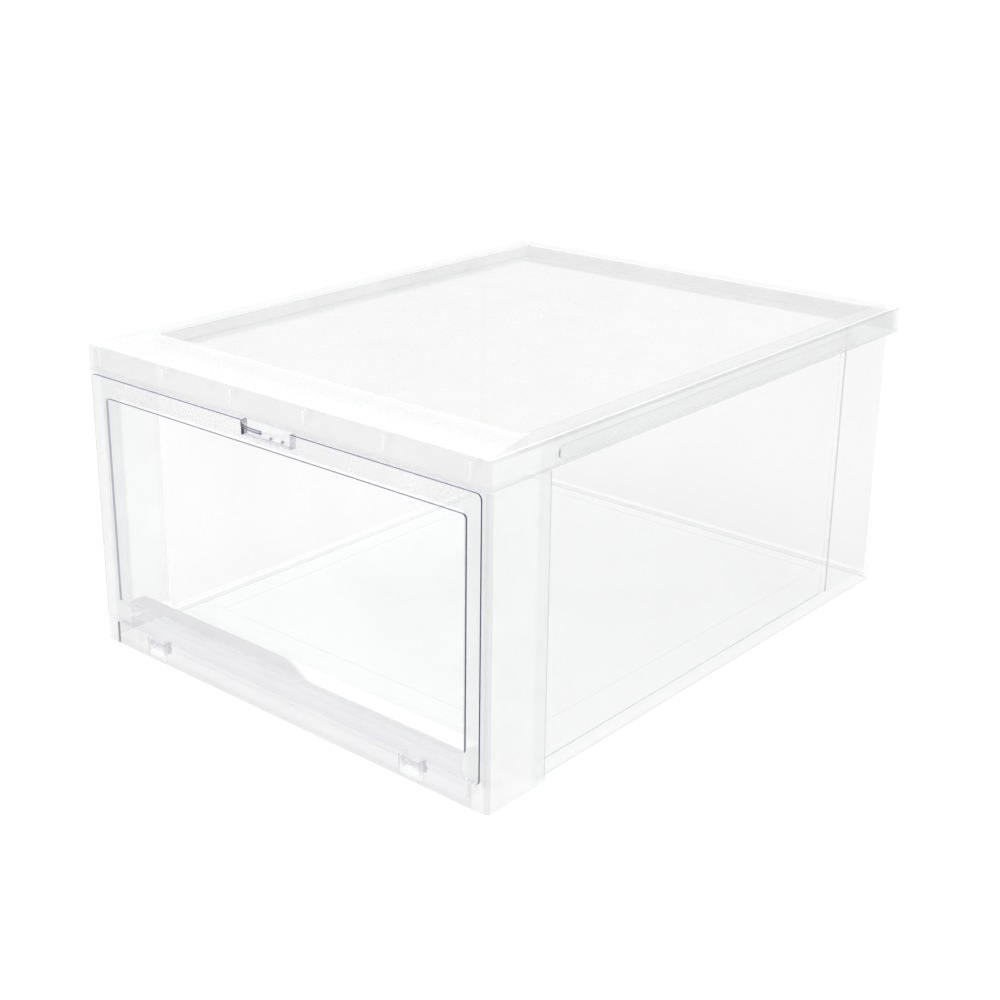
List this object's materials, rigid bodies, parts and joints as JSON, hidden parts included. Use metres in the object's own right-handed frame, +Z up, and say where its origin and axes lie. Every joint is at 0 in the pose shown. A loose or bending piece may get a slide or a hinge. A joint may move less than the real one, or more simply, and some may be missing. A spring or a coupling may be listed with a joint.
{
  "type": "drop-front shoe box",
  "caption": "Clear plastic shoe storage box with a recessed lift-off lid and a hinged front door that drops open, for stacking and front access.",
  "frame": {"origin": "centre of the footprint, on the surface that the box stands on; the footprint runs from the finger lip to the back of the lid", "axes": "+Z up, +X to the right seen from the door, -Y out of the door"},
  "size_m": [0.27, 0.358, 0.164],
  "materials": {
    "milky_plastic": "translucent natural polypropylene, satin gloss",
    "wall_plastic": "thin see-through polypropylene, slightly milky",
    "door_plastic": "clear polystyrene, polished"
  },
  "bodies": {
    "box": {"floor_tray": "milky_plastic", "left_wall": "wall_plastic", "right_wall": "wall_plastic", "rear_wall": "wall_plastic", "left_pillar": "milky_plastic", "right_pillar": "milky_plastic", "front_sill": "milky_plastic", "front_header": "milky_plastic", "right_door_jamb": "milky_plastic", "left_door_jamb": "milky_plastic", "left_front_apron": "milky_plastic", "middle_front_apron": "milky_plastic", "right_front_apron": "milky_plastic", "left_hinge_bracket": "milky_plastic", "right_hinge_bracket": "milky_plastic"},
    "lid": {"lid_front_rail": "milky_plastic", "lid_rear_rail": "milky_plastic", "lid_left_rail": "milky_plastic", "lid_right_rail": "milky_plastic", "lid_panel": "milky_plastic"},
    "door": {"door_frame": "door_plastic", "door_pane": "door_plastic", "left_hinge_pin": "door_plastic", "right_hinge_pin": "door_plastic"},
    "latch": {"door_latch": "door_plastic"}
  },
  "joints": [
    {"name": "lid_lift", "type": "slide", "parent": "box", "child": "lid", "axis": [0, 0, 1], "range_m": [0, 0.06]},
    {"name": "door_hinge", "type": "hinge", "parent": "box", "child": "door", "pos_m": [0, -0.171, 0.0085], "axis": [1, 0, 0], "range_deg": [0, 88]},
    {"name": "latch_flex", "type": "hinge", "parent": "door", "child": "latch", "pos_m": [0, -0.1709, 0.142], "axis": [1, 0, 0], "range_deg": [0, 8], "stiffness_Nm_per_rad": 0.1}
  ]
}
